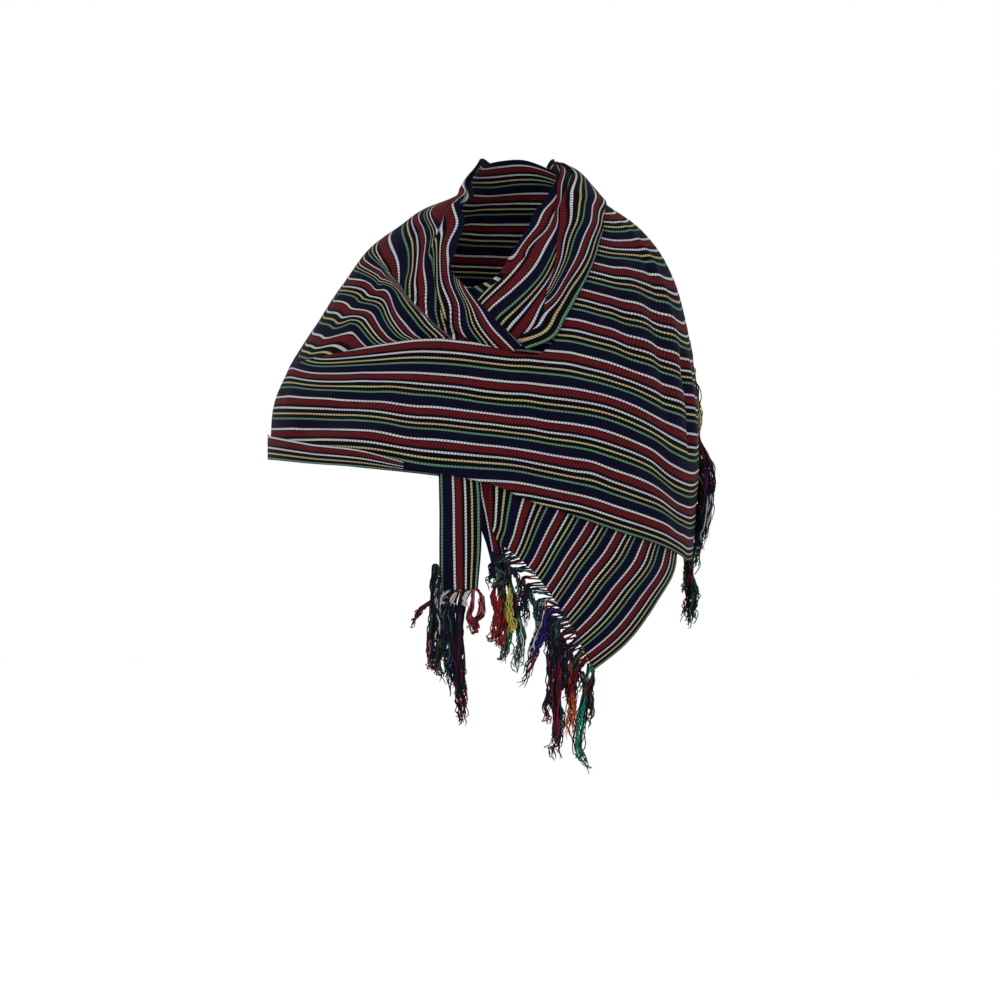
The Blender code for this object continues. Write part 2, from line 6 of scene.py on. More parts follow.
import bmesh
import bpy
import numpy as np
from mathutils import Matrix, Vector


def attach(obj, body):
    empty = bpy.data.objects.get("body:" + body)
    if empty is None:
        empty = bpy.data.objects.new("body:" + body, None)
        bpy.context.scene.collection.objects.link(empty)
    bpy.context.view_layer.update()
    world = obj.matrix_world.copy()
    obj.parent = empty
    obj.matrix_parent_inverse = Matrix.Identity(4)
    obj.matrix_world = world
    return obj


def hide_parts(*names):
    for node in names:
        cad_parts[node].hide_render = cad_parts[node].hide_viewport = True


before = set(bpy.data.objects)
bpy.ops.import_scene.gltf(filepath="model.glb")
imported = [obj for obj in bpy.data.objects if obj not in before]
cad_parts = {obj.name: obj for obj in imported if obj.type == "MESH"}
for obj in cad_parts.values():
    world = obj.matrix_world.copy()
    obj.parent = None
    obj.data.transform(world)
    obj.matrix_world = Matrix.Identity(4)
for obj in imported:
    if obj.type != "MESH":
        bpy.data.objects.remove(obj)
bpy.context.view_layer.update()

# Stage: a plain pale floor far below the hanging cloth, soft studio light all round, and the camera at the
# photograph's angle, level with the waist and some three metres away.
CAMERA_DISTANCE = 3.2
CAMERA_HEIGHT = -0.393
PIXEL = 0.00138
LEFT_OF_FRAME_CENTRE = 0.0317
SENSOR = 36.0
FRAME_PIXELS = 1000
FLOOR_HEIGHT = -1.42
FLOOR_SIZE = 24.0
SOFTBOX_AIM = Vector((0, 0, -0.3))
FIBRE_SPECULAR = 0.06
FIBRE_SHEEN_ROUGHNESS = 0.6


def linear(code):
    """An sRGB hex colour as the linear colour that a shader takes."""
    parts = [int(code[i : i + 2], 16) / 255 for i in (1, 3, 5)]
    return (*(p / 12.92 if p <= 0.04045 else ((p + 0.055) / 1.055) ** 2.4 for p in parts), 1.0)


def finish(name, roughness, sheen):
    """A new matte material, with hardly any gloss, and its shader."""
    made = bpy.data.materials.new(name)
    made.use_nodes = True
    shader = made.node_tree.nodes["Principled BSDF"]
    shader.inputs["Roughness"].default_value = roughness
    shader.inputs["Sheen Weight"].default_value = sheen
    shader.inputs["Sheen Roughness"].default_value = FIBRE_SHEEN_ROUGHNESS
    shader.inputs["Specular IOR Level"].default_value = FIBRE_SPECULAR
    return made, shader


def stage_piece(name, bm, colour):
    """A piece of the studio, painted one colour."""
    mesh = bpy.data.meshes.new(name)
    bm.to_mesh(mesh)
    bm.free()
    made = bpy.data.objects.new(name, mesh)
    bpy.context.scene.collection.objects.link(made)
    look, shader = finish(name + "_paint", 0.9, 0.0)
    shader.inputs["Base Color"].default_value = linear(colour)
    mesh.materials.append(look)


bm = bmesh.new()
bmesh.ops.create_grid(bm, x_segments=1, y_segments=1, size=FLOOR_SIZE / 2)
bmesh.ops.translate(bm, verts=bm.verts, vec=(0, 0, FLOOR_HEIGHT))
stage_piece("studio_floor", bm, "#ffffff")

lens = bpy.data.cameras.new("studio_camera")
lens.sensor_width = SENSOR
lens.lens = SENSOR * CAMERA_DISTANCE / (PIXEL * FRAME_PIXELS)
lens.shift_x = -LEFT_OF_FRAME_CENTRE / (PIXEL * FRAME_PIXELS)
camera = bpy.data.objects.new("studio_camera", lens)
bpy.context.scene.collection.objects.link(camera)
camera.location = (0, -CAMERA_DISTANCE, CAMERA_HEIGHT)
camera.rotation_euler = (math.radians(90), 0, 0)
bpy.context.scene.camera = camera


def softbox(name, place, size, watts):
    """A square soft lamp turned toward the shawl."""
    lamp = bpy.data.lights.new(name, "AREA")
    lamp.size = size
    lamp.energy = watts
    made = bpy.data.objects.new(name, lamp)
    bpy.context.scene.collection.objects.link(made)
    made.location = place
    made.rotation_euler = (SOFTBOX_AIM - Vector(place)).to_track_quat("-Z", "Y").to_euler()


softbox("softbox_front_left", (-2.2, -2.6, 1.3), 1.6, 22)
softbox("softbox_front_right", (2.4, -2.4, 0.9), 1.6, 10)
softbox("softbox_back", (0.4, 2.8, 1.6), 2.0, 10)
world = bpy.data.worlds.new("studio")
world.use_nodes = True
world.node_tree.nodes["Background"].inputs["Color"].default_value = linear("#ffffff")
world.node_tree.nodes["Background"].inputs["Strength"].default_value = 1.0
bpy.context.scene.world = world
bpy.context.scene.view_settings.view_transform = "Standard"


# Back drape: the middle of the cloth, hanging over the shoulder blades from one arm to the other. The cloth is
# a hand woven cotton plain weave, and every stretch of it is set off the same general figure, so that the
# layers lie on each other as worn cloth does.
MM = 0.001
STRIPE_REPEAT = 46.0  # from one white line to the next of its kind
CLOTH_THICKNESS = 1.2
EYE_DISTANCE = CAMERA_DISTANCE / MM
EYE_HEIGHT = CAMERA_HEIGHT / MM

FIGURE = (
    # height, left, right, front, back, fullness
    (110, -50, 34, 46, 74, 2.0),
    (72, -54, 40, 50, 82, 2.0),
    (46, -72, 68, 54, 88, 1.95),
    (20, -94, 98, 61, 95, 1.9),
    (6, -130, 116, 67, 99, 1.85),
    (-20, -170, 152, 80, 106, 1.85),
    (-45, -204, 174, 92, 111, 1.9),
    (-88, -238, 198, 112, 118, 2.0),
    (-150, -279, 216, 136, 124, 2.1),
    (-216, -316, 227, 152, 128, 2.2),
    (-270, -338, 232, 159, 129, 2.3),
    (-335, -342, 233, 162, 128, 2.3),
    (-400, -338, 229, 160, 126, 2.3),
    (-480, -325, 222, 155, 124, 2.3),
    (-640, -300, 210, 148, 120, 2.3),
    (-800, -290, 205, 146, 118, 2.3),
)
# Where a wearer's bent right arm pushes the cloth forward.
FOREARM = {"x": -165.0, "z": -345.0, "wide": 120.0, "tall": 85.0, "forward": 42.0}
DEGREE_WIDTH = 3.4
FOLDS = (
    # angle, height, to angle, to height, width, out
    (134, 14, 122, -60, 9, 5),
    (146, -14, 130, -86, 10, -4),
    (158, -60, 128, -140, 16, -5),
    (166, -110, 124, -176, 16, 5),
    (34, -110, 33, -280, 10, -4),
    (44, -60, 40, -250, 18, 4),
    (24, -20, 22, -200, 12, 3),
    (70, -240, 36, -330, 24, 6),
    (92, -250, 60, -330, 20, -6),
    (118, -250, 150, -300, 18, -5),
    (112, -300, 140, -322, 14, 5),
    (-42, -20, -58, -320, 20, 9),
    (-44, 10, -74, -360, 20, -9),
    (-66, 0, -96, -330, 22, 8),
    (-88, -30, -124, -300, 20, -8),
    (-112, -10, -146, -290, 22, 9),
    (-134, -60, -164, -310, 18, -7),
    (19.5, -190, 16.5, -330, 5, -6),
    (13.5, -190, 11.5, -325, 8, 4),
    (26, -150, 25, -300, 12, 3),
    (28, -60, 30, -190, 9, -3),
    (52, -330, 30, -440, 16, 4),
    (48, -300, 22, -400, 14, -3),
    (128, -230, 100, -262, 10, 3),
    (150, -300, 128, -286, 9, -3),
    (160, -250, 134, -262, 12, 3),
    (143, -70, 101, -166, 6, -6),
    (145, -83, 104, -179, 7, 5),
)


def smooth(at, known_at, known):
    """A curve through the known values that does not swing past them; known may hold several columns."""
    known_at = np.asarray(known_at, float)
    known = np.asarray(known, float)
    shape = (-1,) + (1,) * (known.ndim - 1)
    step = np.diff(known_at).reshape(shape)
    slope = np.diff(known, axis=0) / step
    tangent = np.zeros_like(known)
    tangent[0], tangent[-1] = slope[0], slope[-1]
    before, after = slope[:-1], slope[1:]
    steady = before * after > 0
    mean = (before * step[1:] + after * step[:-1]) / (step[1:] + step[:-1])
    limit = 3 * np.minimum(abs(before), abs(after))
    tangent[1:-1] = np.where(steady, np.sign(mean) * np.minimum(abs(mean), limit), 0.25 * mean)
    at = np.clip(np.asarray(at, float), known_at[0], known_at[-1])
    cell = np.clip(np.searchsorted(known_at, at, side="right") - 1, 0, len(known_at) - 2)
    width = step[cell].reshape(at.shape + (1,) * (known.ndim - 1))
    t = ((at - known_at[cell]) / (known_at[cell + 1] - known_at[cell])).reshape(width.shape)
    return (
        known[cell] * (1 + 2 * t) * (1 - t) ** 2
        + tangent[cell] * width * t * (1 - t) ** 2
        + known[cell + 1] * t * t * (3 - 2 * t)
        + tangent[cell + 1] * width * t * t * (t - 1)
    )


def ring_at(z):
    """Left, right, front, back and fullness of the figure's ring at each height."""
    table = np.array(FIGURE, float)[::-1]
    return np.moveaxis(smooth(z, table[:, 0], table[:, 1:]), -1, 0)


def on_figure(angle, z):
    """Points of the figure: 0 degrees is the wearer's left side, 90 the front, 180 the right side, 270 the back."""
    left, right, front_reach, back_reach, fullness = ring_at(z)
    turn = np.radians(angle)
    across, toward = np.cos(turn), np.sin(turn)
    x = (left + right) / 2 + (right - left) / 2 * np.sign(across) * abs(across) ** (2 / fullness)
    reach = np.where(toward > 0, front_reach, back_reach)
    depth = -reach * np.sign(toward) * abs(toward) ** (2 / fullness)
    swell = np.exp(-(((x - FOREARM["x"]) / FOREARM["wide"]) ** 2) - ((z - FOREARM["z"]) / FOREARM["tall"]) ** 2)
    depth = depth - FOREARM["forward"] * swell * np.clip(toward * 2.5, 0, 1)
    return np.stack([x, depth, z], axis=-1)


def fold_height(angle, z):
    """How far the folds stand out of the figure at each place."""
    total = np.zeros_like(z)
    angle = np.where(angle > 200, angle - 360, angle)
    for from_angle, from_z, to_angle, to_z, width, out in FOLDS:
        along = np.array([(to_angle - from_angle) * DEGREE_WIDTH, to_z - from_z])
        length = np.hypot(*along)
        run, off = (angle - from_angle) * DEGREE_WIDTH, z - from_z
        share = (run * along[0] + off * along[1]) / length**2
        aside = (run * along[1] - off * along[0]) / length
        ends = np.clip(1.25 - abs(2 * share - 1), 0, 0.5) * 2
        total += out * np.exp(-((aside / width) ** 2)) * ends * ends * (3 - 2 * ends)
    return total


def off_figure(angle, z, lift):
    """Points of the figure moved out along its normal by each lift, then drawn to the eye's lines of sight."""
    turn, rise = 0.5, 1.0
    lift = lift + fold_height(angle, z)
    round_it = on_figure(angle + turn, z) - on_figure(angle - turn, z)
    up_it = on_figure(angle, z + rise) - on_figure(angle, z - rise)
    normal = np.cross(up_it, round_it)
    normal /= np.linalg.norm(normal, axis=-1, keepdims=True)
    point = on_figure(angle, z) + normal * lift[..., None]
    near = (EYE_DISTANCE + point[..., 1]) / EYE_DISTANCE
    x = point[..., 0] * near
    height = EYE_HEIGHT + (point[..., 2] - EYE_HEIGHT) * near
    return np.stack([x, point[..., 1], height], axis=-1)


def front(x, z, lift):
    """A place on the front of the figure, by where it shows from in front."""
    left, right, _, _, fullness = ring_at(float(z))
    t = np.clip((x - (left + right) / 2) / ((right - left) / 2), -1, 1)
    return (math.degrees(math.acos(np.sign(t) * abs(t) ** (fullness / 2))), z, lift)


def around(angle, z, lift):
    """A place at the side or back of the figure, by its angle."""
    return (angle, z, lift)


def loft(rows, stripes, along, across, start=0.0, end=1.0, first=0.0, last=1.0):
    """Angle, height, lift and stripe count on a surface through the rows, which run across the cloth.
    A row of stripes is counts at even steps, or pairs of share and count where a pleat hides some of them."""
    across_at = np.linspace(first, last, across + 1)
    places = np.array(rows, float)
    spans = np.linalg.norm((places[1:] - places[:-1]) * (2.0, 1.0, 1.0), axis=-1).mean(axis=1)
    row_at = np.concatenate([[0], np.cumsum(spans)])
    row_at /= row_at[-1]
    along_at = np.linspace(start, end, along + 1)
    filled = np.stack([smooth(across_at, np.linspace(0, 1, len(row)), row) for row in places])
    known_bands = smooth(along_at, row_at, stripes)
    if known_bands.ndim == 2:
        bands = [smooth(across_at, np.linspace(0, 1, len(known)), known) for known in known_bands]
    else:
        bands = [np.interp(across_at, known[:, 0], known[:, 1]) for known in known_bands]
    return np.concatenate([smooth(along_at, row_at, filled), np.array(bands)[..., None]], axis=-1)


# Cotton yarn, matte and softly fuzzy. The warp makes the stripes: fine light lines of two strand yarn, whose twist
# shows as slanting beads of painted shade and bump relief, between wider bands of dark single yarn.
BANDS = (
    # where the band starts in a repeat, colour
    (0.0, "#cfccd4"),
    (0.03, "#050304"),
    (0.045, "#2c0b12"),
    (0.07, "#5e161d"),
    (0.222, "#2c0b12"),
    (0.25, "#040303"),
    (0.305, "#cccbd3"),
    (0.36, "#030303"),
    (0.486, "#b8ac88"),
    (0.538, "#020502"),
    (0.645, "#648777"),
    (0.703, "#050d12"),
    (0.745, "#060725"),
    (0.945, "#06060e"),
    (0.972, "#cfccd4"),
)
# Yarn of this kind turns about every 2 mm and lies 0.5 mm from the next, which is too fine to show, so both are
# drawn as coarse as they need to be to show in the render.
BEAD_LENGTH = 4.4
THREAD_SPACING = 1.5
BEAD_SLANT = 8.0  # turns that the slant gains over one stripe repeat
COTTON_ROUGHNESS = 0.95
CLOTH_SHEEN = 0.015
# How far the painted shade of the twist darkens the colour between the beads.
TWIST_SHADE_DEPTH = 0.26
DARKEST = 0.2
GRAIN = {"Scale": 420.0, "Detail": 2.0, "Roughness": 0.6}
GRAIN_DEPTH = 0.75
UNEVEN_DYE = {"Scale": 19.0, "Detail": 3.0, "Roughness": 0.7}
DYE_SHARE = 0.7
WEAVE_RELIEF = {"Strength": 0.35, "Distance": 0.0003}


def add(tree, kind, settings=(), **links):
    """Adds a node with its settings; links give its inputs, by name or number, a value or another node's output."""
    node = tree.nodes.new(kind)
    for key, value in dict(settings).items():
        setattr(node, key, value)
    for key, value in links.items():
        socket = node.inputs[int(key[1:]) if key[0] == "n" and key[1:].isdigit() else key.replace("_", " ")]
        if isinstance(value, bpy.types.NodeSocket):
            tree.links.new(value, socket)
        else:
            socket.default_value = value
    return node


def cotton_look():
    """The cloth's material: the stripes by the map's second number, the twist of the yarn by both, as relief and as
    painted shade in its grooves.
    """
    made, shader = finish("handwoven_cotton", COTTON_ROUGHNESS, CLOTH_SHEEN)
    tree = made.node_tree
    run = add(tree, "ShaderNodeUVMap", {"uv_map": "cloth_run"})
    parts = add(tree, "ShaderNodeSeparateXYZ", (), Vector=run.outputs["UV"])
    repeat = add(tree, "ShaderNodeMath", {"operation": "FRACT"}, n0=parts.outputs["Y"])
    bands = add(tree, "ShaderNodeValToRGB", (), Fac=repeat.outputs["Value"])
    bands.color_ramp.interpolation = "CONSTANT"
    stops = bands.color_ramp.elements
    stops.remove(stops[1])
    for index, (at, colour) in enumerate(BANDS):
        stop = stops[0] if index == 0 else stops.new(at)
        stop.position = at
        stop.color = linear(colour)
    turn = 2 * math.pi
    turns = add(
        tree, "ShaderNodeMath", {"operation": "MULTIPLY"}, n0=parts.outputs["X"], n1=turn / (BEAD_LENGTH * MM)
    )
    slanted = add(
        tree, "ShaderNodeMath", {"operation": "MULTIPLY_ADD"},
        n0=parts.outputs["Y"], n1=turn * BEAD_SLANT, n2=turns.outputs["Value"],
    )
    bead = add(tree, "ShaderNodeMath", {"operation": "SINE"}, n0=slanted.outputs["Value"])
    grain = add(tree, "ShaderNodeTexNoise", (), Vector=run.outputs["UV"], **GRAIN)
    # The bead wave darkens the colour between the beads: painted shade in the grooves of the twisted yarn, on top of
    # the bump relief below.
    shade = add(
        tree, "ShaderNodeMath", {"operation": "MULTIPLY_ADD"}, n0=bead.outputs["Value"], n1=TWIST_SHADE_DEPTH, n2=DARKEST
    )
    grain_and_twist_shade = add(
        tree, "ShaderNodeMath", {"operation": "MULTIPLY_ADD"},
        n0=grain.outputs["Fac"], n1=GRAIN_DEPTH, n2=shade.outputs["Value"],
    )
    colour = add(
        tree, "ShaderNodeMix", {"data_type": "RGBA", "blend_type": "MULTIPLY"},
        n0=1.0, n6=bands.outputs["Color"], n7=grain_and_twist_shade.outputs["Value"],
    )
    dye = add(tree, "ShaderNodeTexNoise", (), Vector=run.outputs["UV"], **UNEVEN_DYE)
    uneven = add(
        tree, "ShaderNodeMix", {"data_type": "RGBA", "blend_type": "OVERLAY"},
        n0=DYE_SHARE, n6=colour.outputs[2], n7=dye.outputs["Color"],
    )
    tree.links.new(uneven.outputs[2], shader.inputs["Base Color"])
    ribs = add(
        tree, "ShaderNodeMath", {"operation": "MULTIPLY"},
        n0=parts.outputs["Y"], n1=turn * STRIPE_REPEAT / THREAD_SPACING,
    )
    rib = add(tree, "ShaderNodeMath", {"operation": "SINE"}, n0=ribs.outputs["Value"])
    height = add(
        tree, "ShaderNodeMath", {"operation": "MULTIPLY_ADD"},
        n0=rib.outputs["Value"], n1=0.5, n2=bead.outputs["Value"],
    )
    relief = add(tree, "ShaderNodeBump", (), Height=height.outputs["Value"], **WEAVE_RELIEF)
    tree.links.new(relief.outputs["Normal"], shader.inputs["Normal"])
    return made


striped_cotton = cotton_look()

# Wavelengths and breadths of the ripples in millimetres, and how far each leans across the stripes.
RIPPLE_WAVES = 14
RIPPLE_LENGTH = (60, 190)
RIPPLE_BREADTH = (18, 60)
RIPPLE_LEAN = (-0.5, 0.5)


def ripple(length, stripe, seed):
    """Small uneven waves of worn cloth, drawn out along the stripes."""
    draw = np.random.default_rng(seed)
    total = np.zeros_like(length)
    for _ in range(RIPPLE_WAVES):
        wave = draw.uniform(*RIPPLE_LENGTH)
        breadth = draw.uniform(*RIPPLE_BREADTH)
        lean = draw.uniform(*RIPPLE_LEAN)
        phase = draw.uniform(0, 2 * math.pi, 2)
        across = stripe * STRIPE_REPEAT + lean * length
        total += np.sin(length / wave * 2 * math.pi + phase[0]) * np.sin(across / breadth * math.pi + phase[1])
    return total / RIPPLE_WAVES


def woven(name, places, seed, ripples=1.2):
    """A stretch of cloth on lofted places: a thin shell whose map holds its length and its stripe count."""
    points = off_figure(places[..., 0], places[..., 1], places[..., 2])
    stripe = places[..., 3]
    runs = np.linalg.norm(np.diff(points, axis=0), axis=-1)
    length = np.concatenate([np.zeros((1, points.shape[1])), np.cumsum(runs, axis=0)])
    points = off_figure(places[..., 0], places[..., 1], places[..., 2] + ripples * ripple(length, stripe, seed))
    along, across = stripe.shape
    bm = bmesh.new()
    bmesh.ops.create_grid(bm, x_segments=across - 1, y_segments=along - 1, size=1)
    bm.verts.ensure_lookup_table()
    for vertex, point in zip(bm.verts, points.reshape(-1, 3)):
        vertex.co = point * MM
    mesh = bpy.data.meshes.new(name)
    bm.to_mesh(mesh)
    bm.free()
    corner = np.zeros(len(mesh.loops), np.int32)
    mesh.loops.foreach_get("vertex_index", corner)
    run = np.column_stack([(length * MM).ravel(), stripe.ravel()])[corner]
    mesh.uv_layers.new(name="cloth_run").data.foreach_set("uv", run.astype(np.float32).ravel())
    mesh.materials.append(striped_cotton)
    mesh.shade_smooth()
    made = bpy.data.objects.new(name, mesh)
    bpy.context.scene.collection.objects.link(made)
    thick = made.modifiers.new("Wall", "SOLIDIFY")
    thick.thickness = CLOTH_THICKNESS * MM
    thick.offset = 0
    thick.use_even_offset = True
    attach(made, "root")
    return made, points


# The line from neck to elbow just behind the wearer's right side, where the drape passes to the front.
RIGHT_EDGE = [
    around(-172, 74, 3), around(-172, 4, 4), around(-171, -70, 4), around(-171, -190, 4), around(-171, -333, 4)
]
BACK_ROWS = [
    [around(48, 0, 1), around(40, -50, 2), around(30, -140, 2), around(20, -270, 3), around(12, -450, 3)],
    [around(14, 20, 2), around(10, -40, 3), around(4, -140, 3), around(2, -270, 3), around(0, -450, 3)],
    [around(-30, 52, 3), around(-25, -20, 4), around(-22, -130, 4), around(-22, -270, 4), around(-22, -440, 4)],
    [around(-62, 70, 3), around(-60, 5, 5), around(-58, -120, 5), around(-56, -260, 5), around(-56, -414, 6)],
    [around(-90, 76, 3), around(-90, 12, 5), around(-90, -118, 5), around(-92, -240, 5), around(-92, -366, 8)],
    [around(-118, 74, 3), around(-120, 8, 5), around(-122, -115, 5), around(-126, -230, 5), around(-128, -346, 6)],
    [around(-150, 70, 3), around(-148, 2, 4), around(-148, -110, 4), around(-152, -220, 4), around(-154, -338, 4)],
    RIGHT_EDGE,
]
BACK_STRIPES = [
    (0.9, 2.4, 4.9, 8.0, 11.72),
    (0.9, 2.4, 4.7, 7.8, 11.72),
    (0.85, 2.6, 5.0, 8.2, 11.72),
    (0.82, 2.5, 5.2, 8.3, 11.72),
    (0.8, 2.4, 5.4, 8.4, 11.72),
    (0.8, 2.4, 5.4, 8.4, 11.72),
    (0.8, 2.6, 5.3, 8.0, 11.4),
    (0.8, 2.5, 4.6, 7.6, 11.0),
]
back_drape, _ = woven("cloth_back_drape", loft(BACK_ROWS, BACK_STRIPES, 150, 100), 1)
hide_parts("back_drape")


# Right shoulder drape: the same cloth coming forward over the wearer's right shoulder. It fans out from the
# neck to the elbow, and its stripes run steeply down to where the wrap is tucked over it.
def right_edge_part(first, last, count, turned, raised=0.0):
    """Places between two shares of the right edge, turned and raised to start another stretch there."""
    places = smooth(np.linspace(first, last, count), np.linspace(0, 1, len(RIGHT_EDGE)), RIGHT_EDGE)
    return [(angle + turned, z, lift + raised) for angle, z, lift in places]


SHOULDER_ROWS = [
    right_edge_part(0, 0.66, 5, 360),
    [around(180, 72, 4), around(180, 24, 5), around(180, -22, 4), around(180, -108, 4), around(180, -206, 4)],
    [front(-80, -7, 4), front(-118, -34, 5), front(-170, -64, 5), front(-236, -132, 4), front(-306, -210, 3)],
    [front(-95, -76, 4), front(-134, -96, 5), front(-176, -120, 5), front(-232, -164, 4), front(-296, -210, 3)],
    [front(-66, -118, 4), front(-112, -142, 5), front(-160, -160, 5), front(-218, -186, 4), front(-286, -211, 3)],
    [front(-4, -190, 4), front(-62, -180, 5), front(-128, -179, 5), front(-205, -190, 4), front(-276, -212, 3)],
    [front(-2, -214, 3), front(-60, -206, 3), front(-126, -203, 3), front(-203, -208, 3), front(-274, -224, 2)],
]
SHOULDER_STRIPES = [
    # share of the way across and stripe count; a slanting pleat hides the counts between the fourth and fifth
    [(0, 0.8), (0.25, 1.7), (0.35, 2.2), (0.45, 2.6), (0.5, 3.0), (0.56, 3.3), (0.75, 4.6), (1, 7.6)],
    [(0, 0.8), (0.25, 1.2), (0.35, 2.0), (0.5, 3.0), (0.55, 3.4), (0.6, 4.0), (0.75, 6.0), (1, 7.9)],
    [(0, 0.9), (0.25, 1.38), (0.34, 2.15), (0.565, 3.3), (0.585, 4.05), (0.65, 5.1), (0.75, 6.05), (1, 7.95)],
    [(0, 0.95), (0.25, 2.03), (0.33, 2.33), (0.42, 2.62), (0.43, 4.42), (0.5, 4.9), (0.75, 6.98), (1, 7.9)],
    [(0, 0.62), (0.25, 1.53), (0.28, 1.67), (0.324, 1.87), (0.333, 4.25), (0.5, 5.1), (0.75, 7.15), (1, 7.9)],
    [(0, 0.5), (0.25, 0.92), (0.3, 1.08), (0.368, 1.32), (0.377, 4.15), (0.5, 4.8), (0.75, 7.2), (1, 7.9)],
    [(0, 0.5), (0.25, 0.92), (0.3, 1.08), (0.368, 1.32), (0.377, 4.15), (0.5, 4.9), (0.75, 7.4), (1, 8.1)],
]
right_shoulder, _ = woven(
    "cloth_right_shoulder", loft(SHOULDER_ROWS, SHOULDER_STRIPES, 120, 150, start=0.004, first=0.04), 2, 0.8
)
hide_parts("right_shoulder_drape")


# Front wrap: the cloth crosses the chest from the right elbow, is tucked over the shoulder drape, and is
# thrown over the left shoulder and arm. Its lower edge is the cloth's own selvedge.
WRAP_ROWS = [
    right_edge_part(0.655, 1, 4, 362, 3),
    [around(180, -214, 8), around(180, -262, 7), around(180, -300, 6), around(180, -335, 6)],
    [front(-306, -209, 9), front(-318, -258, 8), front(-324, -300, 7), front(-328, -337, 7)],
    [front(-268, -199, 11), front(-276, -250, 9), front(-282, -298, 8), front(-284, -341, 8)],
    [front(-206, -187, 14), front(-210, -240, 11), front(-212, -294, 9), front(-210, -346, 9)],
    [front(-130, -176, 18), front(-134, -234, 13), front(-136, -292, 10), front(-136, -352, 10)],
    [front(-66, -181, 20), front(-66, -238, 15), front(-64, -300, 11), front(-62, -366, 11)],
    [front(-6, -196, 21), front(-4, -252, 16), front(4, -316, 12), front(10, -394, 11)],
    [front(13, -196, 14), front(24, -250, 13), front(36, -318, 11), front(46, -406, 10)],
    [front(36, -182, 7), front(56, -246, 10), front(72, -320, 10), front(86, -421, 10)],
    [front(62, -112, 7), front(88, -214, 9), front(112, -312, 9), front(132, -437, 9)],
    [front(86, -46, 6), front(120, -176, 9), front(158, -300, 9), front(184, -455, 9)],
    [front(98, 0, 5), front(142, -120, 9), front(190, -278, 8), front(212, -470, 8)],
    [around(4, 15, 5), around(6, -88, 8), around(6, -250, 8), around(8, -476, 8)],
    [around(-24, 24, 9), around(-20, -78, 12), around(-18, -236, 13), around(-12, -470, 14)],
]
WRAP_STRIPES = [
    (7.6, 8.1, 8.6, 9.1, 9.6, 10.2, 10.8),
    (7.95, 8.6, 9.2, 9.7, 10.1, 10.5, 10.86),
    (7.82, 8.49, 9.11, 9.63, 10.1, 10.51, 10.9),
    (7.18, 8.06, 8.81, 9.49, 10.05, 10.52, 10.95),
    (6.97, 7.74, 8.48, 9.2, 9.82, 10.44, 11.0),
    (6.95, 7.59, 8.24, 8.86, 9.52, 10.22, 10.86),
    (6.97, 7.58, 8.2, 8.87, 9.57, 10.33, 11.04),
    (7.16, 7.77, 8.4, 9.06, 9.79, 10.63, 11.5),
    (7.18, 7.72, 8.29, 8.95, 9.72, 10.62, 11.6),
    (6.86, 7.5, 8.13, 8.84, 9.66, 10.63, 11.72),
    (5.25, 6.35, 7.34, 8.29, 9.28, 10.43, 11.72),
    (3.48, 4.97, 6.36, 7.5, 8.65, 10.07, 11.72),
    (2.0, 3.5, 4.93, 6.4, 7.87, 9.48, 11.72),
    (1.6, 2.9, 3.95, 5.2, 6.95, 9.1, 11.72),
    (1.6, 2.8, 3.95, 5.2, 6.8, 9.1, 11.72),
]
front_wrap, wrap_points = woven("cloth_front_wrap", loft(WRAP_ROWS, WRAP_STRIPES, 210, 110, start=0.003), 3, 1.0)
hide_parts("front_wrap")


# Collar strips: the neck edge of the same cotton cloth on the left. It stands beside the neck, turns over on
# itself and rolls outward in one loose cowl, the layers crossing low on the chest. Nothing fastens it.
INNER_ROWS = [
    [around(-48, 64, 4.6), around(-46, 60, 5.1), around(-44, 54, 5.3)],
    [around(-24, 75, 5), around(-24, 67, 6.5), around(-24, 56, 6.5)],
    [around(0, 76, 4), around(0, 66, 4), around(0, 52, 4)],
    [front(44, 46, 3), front(52, 42, 3), front(62, 34, 3)],
    [front(32, 24, 3), front(42, 16, 3), front(54, 6, 3)],
    [front(10, -10, 3), front(26, -20, 3), front(44, -32, 3)],
    [front(-8, -40, 3), front(10, -52, 3), front(32, -68, 3)],
    [front(-22, -64, 2), front(-4, -84, 3), front(14, -108, 3)],
    [front(-46, -91, 1), front(-34, -112, 1), front(-20, -136, 1)],
    [front(-80, -102, -1), front(-70, -124, -1), front(-56, -150, -1)],
]
INNER_STRIPES = [
    (0.78, 1.0, 1.3),
    (0.76, 1.0, 1.3),
    (0.74, 1.0, 1.35),
    (0.74, 1.03, 1.4),
    (0.74, 1.08, 1.5),
    (0.76, 1.2, 1.75),
    (0.78, 1.45, 2.0),
    (1.05, 1.25, 1.6),
    (1.42, 1.6, 1.9),
    (1.85, 2.0, 2.2),
]
collar_inner, _ = woven("cloth_collar_inner", loft(INNER_ROWS, INNER_STRIPES, 90, 20), 4, 0.4)
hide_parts("collar_inner")

